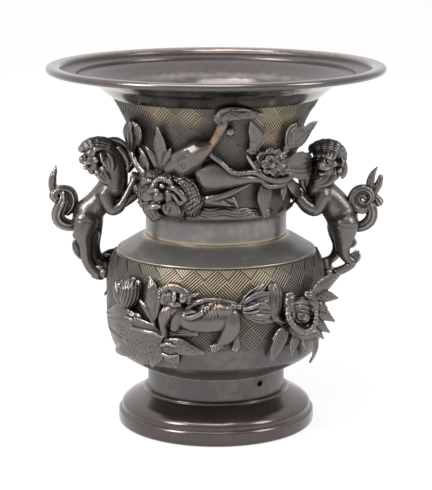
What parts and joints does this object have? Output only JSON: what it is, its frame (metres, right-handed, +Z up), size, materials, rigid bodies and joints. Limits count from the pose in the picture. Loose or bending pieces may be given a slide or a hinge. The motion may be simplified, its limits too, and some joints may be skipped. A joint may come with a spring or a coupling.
{
  "type": "bronze vase",
  "caption": "Cast bronze vase with a wide trumpet mouth, a round belly on a flared foot, lion-dog handles, and lion-dogs, peonies and leaves in high relief.",
  "frame": {"origin": "centre of the foot's underside, on the axis of the vase, at the level of the surface that it stands on", "axes": "+Z up along the axis of the vase, the front relief towards -Y, the handles on -X and +X"},
  "size_m": [0.2112, 0.2112, 0.23],
  "materials": {
    "dark_bronze": "dark brown patina, waxed",
    "rubbed_bronze": "dark brown patina, rubbed"
  },
  "bodies": {
    "root": {"back_belly_bud": "dark_bronze", "back_belly_left_leaves": "dark_bronze", "back_belly_lion": "dark_bronze", "back_belly_peony": "dark_bronze", "back_belly_right_leaves": "dark_bronze", "back_neck_bud": "dark_bronze", "back_neck_left_leaves": "dark_bronze", "back_neck_lion": "dark_bronze", "back_neck_peony": "dark_bronze", "back_neck_right_leaves": "dark_bronze", "back_neck_top_leaves": "dark_bronze", "base_plate": "rubbed_bronze", "belly": "dark_bronze", "foot": "dark_bronze", "front_belly_bud": "dark_bronze", "front_belly_left_leaves": "dark_bronze", "front_belly_lion": "dark_bronze", "front_belly_peony": "dark_bronze", "front_belly_right_leaves": "dark_bronze", "front_neck_bud": "dark_bronze", "front_neck_left_leaves": "dark_bronze", "front_neck_lion": "dark_bronze", "front_neck_peony": "dark_bronze", "front_neck_right_leaves": "dark_bronze", "front_neck_top_leaves": "dark_bronze", "left_handle_foot_rivet": "rubbed_bronze", "left_handle_hand_rivet": "rubbed_bronze", "left_lion_handle": "dark_bronze", "neck_and_mouth": "dark_bronze", "right_handle_foot_rivet": "rubbed_bronze", "right_handle_hand_rivet": "rubbed_bronze", "right_lion_handle": "dark_bronze"}
  },
  "joints": []
}
